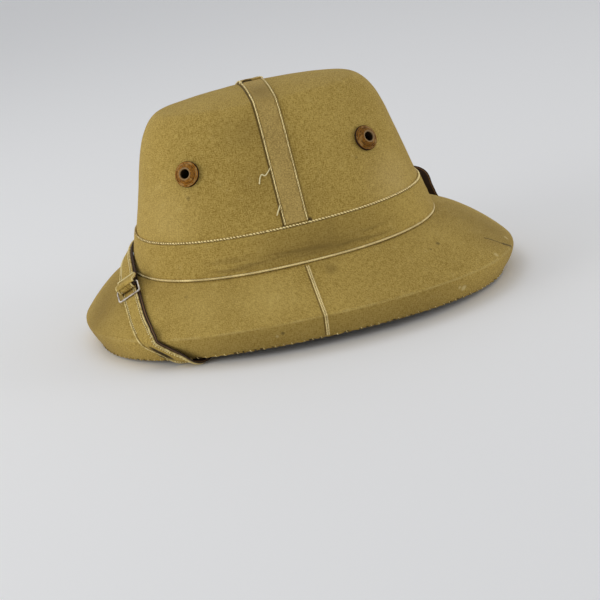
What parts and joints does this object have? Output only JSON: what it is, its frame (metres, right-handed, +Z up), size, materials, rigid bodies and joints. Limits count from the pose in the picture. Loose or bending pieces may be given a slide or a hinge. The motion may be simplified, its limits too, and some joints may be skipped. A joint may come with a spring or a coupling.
{
  "type": "pith helmet",
  "caption": "Cloth-covered pith sun helmet: tapered flat-domed crown, sloping brim with a thick rim, hat band, strip over the crown, vents and a buckled chin strap round the brim.",
  "frame": {"origin": "centre of the hat's outline at the height of the floor that its rim rests on", "axes": "+Z up; the front of the hat faces -Y; the wearer's left is +X"},
  "size_m": [0.282, 0.3316, 0.1711],
  "materials": {
    "khaki_drill": "plain woven khaki cotton drill over pith",
    "strip_cloth": "khaki cotton, a little greyer than the crown",
    "pale_cord": "pale cotton cord and piping",
    "vent_fibre": "brown pressed fibre",
    "strap": "khaki cloth face stitched on dark brown leather",
    "nickel": "dull nickel-plated wire"
  },
  "bodies": {
    "root": {"crown": "khaki_drill", "brim": "khaki_drill", "hat_band": "khaki_drill", "band_top_cord": "pale_cord", "band_lower_piping": "pale_cord", "crown_strip": "strip_cloth", "crown_strip_cord_front": "pale_cord", "crown_strip_cord_rear": "pale_cord", "brim_seam_right": "pale_cord", "brim_seam_left": "pale_cord", "vent_right_front": "vent_fibre", "vent_right_rear": "vent_fibre", "vent_left_front": "vent_fibre", "vent_left_rear": "vent_fibre", "chin_strap": "strap", "chin_strap_tail": "strap", "buckle_frame": "nickel", "strap_rivet_right": "nickel", "strap_rivet_left": "nickel"}
  },
  "joints": []
}
